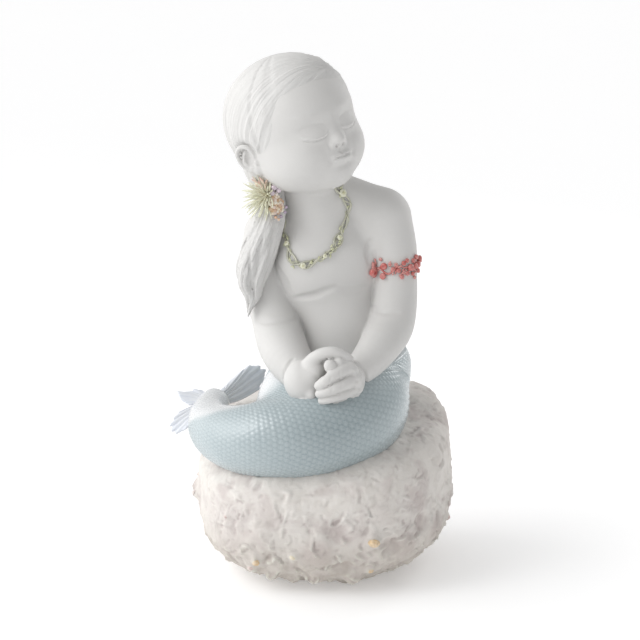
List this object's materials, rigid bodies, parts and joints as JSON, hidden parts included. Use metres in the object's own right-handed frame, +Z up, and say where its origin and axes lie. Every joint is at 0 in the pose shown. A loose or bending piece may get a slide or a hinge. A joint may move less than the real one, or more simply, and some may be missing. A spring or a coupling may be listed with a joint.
{
  "type": "mermaid figurine",
  "caption": "White porcelain figurine of a mermaid child sitting with clasped hands on a boulder, scaled glazed fish tail curled round to one side.",
  "frame": {"origin": "on the boulder's flat foot, at its middle, under the figure", "axes": "+Z up, -Y the front that the hands and the lap face, +X to the viewer's right"},
  "size_m": [0.1526, 0.1217, 0.274],
  "materials": {
    "skin_bisque": "unglazed white bisque porcelain, satin",
    "tail_glaze": "pale blue-grey transparent glaze over relief scales, gloss",
    "rock_bisque": "cream bisque porcelain with rosy wash in the hollows, matt",
    "garland_glaze": "pale green and yellow glaze, gloss",
    "coral_glaze": "coral red glaze, satin",
    "spray_glaze": "cream yellow glaze, satin",
    "bead_glaze": "amber and pink glaze, satin"
  },
  "bodies": {
    "root": {"rock_base": "rock_bisque", "mermaid_figure": "skin_bisque", "necklace": "garland_glaze", "coral_armlet": "coral_glaze", "hair_spray": "spray_glaze", "bead_cluster": "bead_glaze"}
  },
  "joints": []
}
